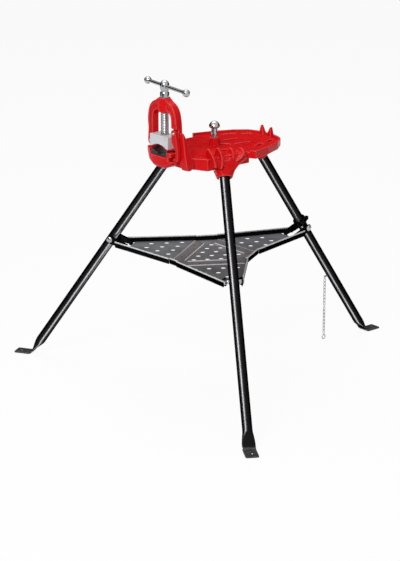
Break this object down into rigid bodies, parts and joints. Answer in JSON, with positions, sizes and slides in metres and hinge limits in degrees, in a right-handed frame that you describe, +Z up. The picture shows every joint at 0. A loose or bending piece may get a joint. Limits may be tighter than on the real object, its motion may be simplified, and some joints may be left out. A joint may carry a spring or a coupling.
{
  "type": "tripod pipe vise stand",
  "caption": "Folding tripod stand with tube legs and a perforated tray, carrying a cast deck with a hinged yoke pipe vise, pipe rest, benders and a ceiling brace screw.",
  "frame": {"origin": "middle of the footprint of the three feet, on the floor", "axes": "+X along the pipe axis from the vise to the rear leg, +Y to the far front leg, +Z up"},
  "size_m": [1.1322, 1.2396, 1.023],
  "materials": {
    "red_paint": "glossy red enamel on cast iron",
    "black_paint": "glossy black enamel on steel",
    "tray_sheet": "satin dark grey paint on sheet steel",
    "bright_steel": "polished plated steel",
    "jaw_steel": "satin forged steel",
    "tool_steel": "dark hardened steel",
    "zinc": "dull zinc plate"
  },
  "bodies": {
    "base": {"deck_casting": "red_paint", "leg_pin_left": "bright_steel", "leg_pin_near": "bright_steel", "leg_pin_rear": "bright_steel", "lower_jaw": "tool_steel", "lower_jaw_screw": "bright_steel", "yoke_hinge_pin": "bright_steel"},
    "yoke": {"yoke": "red_paint", "latch_pin": "bright_steel"},
    "latch": {"latch": "red_paint"},
    "jaw": {"upper_jaw": "jaw_steel"},
    "screw": {"vise_screw": "bright_steel"},
    "handle": {"handle_bar": "bright_steel", "handle_ball_left": "bright_steel", "handle_ball_right": "bright_steel"},
    "brace_cap": {"brace_cap": "bright_steel"},
    "brace_screw": {"brace_screw": "bright_steel"},
    "tray": {"tray_centre": "tray_sheet", "tray_hinge_left": "tray_sheet", "tray_hinge_near": "tray_sheet", "tray_hinge_rear": "tray_sheet"},
    "leg_left": {"leg_left": "black_paint", "tray_bolt_left": "bright_steel", "tray_nut_left": "bright_steel"},
    "wing_left": {"tray_wing_left": "tray_sheet", "wing_bracket_left": "black_paint"},
    "leg_near": {"leg_near": "black_paint", "tray_bolt_near": "bright_steel", "tray_nut_near": "bright_steel"},
    "wing_near": {"tray_wing_near": "tray_sheet", "wing_bracket_near": "black_paint"},
    "leg_rear": {"leg_rear": "black_paint", "tray_bolt_rear": "bright_steel", "tray_nut_rear": "bright_steel", "rear_strap": "black_paint", "chain_eye": "zinc"},
    "wing_rear": {"tray_wing_rear": "tray_sheet", "wing_bracket_rear": "black_paint"},
    "chain_top": {"chain_upper": "zinc"},
    "chain_end": {"chain_lower": "zinc", "chain_hook": "zinc"}
  },
  "joints": [
    {"name": "leg_fold_rear", "type": "hinge", "parent": "base", "child": "leg_rear", "pos_m": [0.00189, 0, 0.742], "axis": [0, 1, 0], "range_deg": [0, 34]},
    {"name": "leg_fold_left", "type": "hinge", "parent": "base", "child": "leg_left", "pos_m": [-0.2552, 0.13082, 0.742], "axis": [-0.8517, -0.524, 0], "range_deg": [0, 34]},
    {"name": "leg_fold_near", "type": "hinge", "parent": "base", "child": "leg_near", "pos_m": [-0.2552, -0.13082, 0.742], "axis": [0.8517, -0.524, 0], "range_deg": [0, 34]},
    {"name": "tray_lift", "type": "slide", "parent": "base", "child": "tray", "axis": [0, 0, 1], "range_m": [0, 0.1785]},
    {"name": "wing_fold_left", "type": "hinge", "parent": "tray", "child": "wing_left", "pos_m": [-0.2334, 0.09539, 0.416], "axis": [-0.8517, -0.524, 0], "range_deg": [0, 89]},
    {"name": "wing_fold_near", "type": "hinge", "parent": "tray", "child": "wing_near", "pos_m": [-0.2334, -0.09539, 0.416], "axis": [0.8517, -0.524, 0], "range_deg": [0, 89]},
    {"name": "wing_fold_rear", "type": "hinge", "parent": "tray", "child": "wing_rear", "pos_m": [-0.06271, 0, 0.416], "axis": [0, 1, 0], "range_deg": [0, 89]},
    {"name": "yoke_open", "type": "hinge", "parent": "base", "child": "yoke", "pos_m": [-0.38671, 0.0575, 0.823], "axis": [-1, 0, 0], "range_deg": [0, 95]},
    {"name": "latch_swing", "type": "hinge", "parent": "yoke", "child": "latch", "pos_m": [-0.39921, -0.061, 0.866], "axis": [-1, 0, 0], "range_deg": [-7, 60]},
    {"name": "jaw_travel", "type": "slide", "parent": "yoke", "child": "jaw", "axis": [0, 0, 1], "range_m": [0, 0.054]},
    {"name": "screw_turn", "type": "hinge", "parent": "jaw", "child": "screw", "pos_m": [-0.38671, 0, 0.9], "axis": [0, 0, 1], "range_deg": [0, 3850]},
    {"name": "handle_slide", "type": "slide", "parent": "screw", "child": "handle", "axis": [0.1288, 0.9917, 0], "range_m": [-0.068, 0.094]},
    {"name": "brace_travel", "type": "slide", "parent": "base", "child": "brace_cap", "axis": [0, 0, 1], "range_m": [0, 0.05]},
    {"name": "brace_turn", "type": "hinge", "parent": "brace_cap", "child": "brace_screw", "pos_m": [-0.18371, 0, 0.84], "axis": [0, 0, 1], "range_deg": [0, 5200]},
    {"name": "chain_swing_top", "type": "hinge", "parent": "leg_rear", "child": "chain_top", "pos_m": [0.3145, 0, 0.236], "axis": [0, 1, 0], "range_deg": [-18, 60]},
    {"name": "chain_swing_end", "type": "hinge", "parent": "chain_top", "child": "chain_end", "pos_m": [0.3145, 0, 0.1325], "axis": [0, 1, 0], "range_deg": [-20, 60]}
  ],
  "couplings": [
    {"joint": "leg_fold_left", "follows": "leg_fold_rear", "ratio": 1},
    {"joint": "leg_fold_near", "follows": "leg_fold_rear", "ratio": 1},
    {"joint": "tray_lift", "follows": "leg_fold_rear", "m_per_rad": 0.3},
    {"joint": "wing_fold_left", "follows": "leg_fold_rear", "ratio": 2.6},
    {"joint": "wing_fold_near", "follows": "leg_fold_rear", "ratio": 2.6},
    {"joint": "wing_fold_rear", "follows": "leg_fold_rear", "ratio": 2.6},
    {"joint": "screw_turn", "follows": "jaw_travel", "rad_per_m": 1236.8},
    {"joint": "brace_turn", "follows": "brace_travel", "rad_per_m": 1795.2}
  ]
}
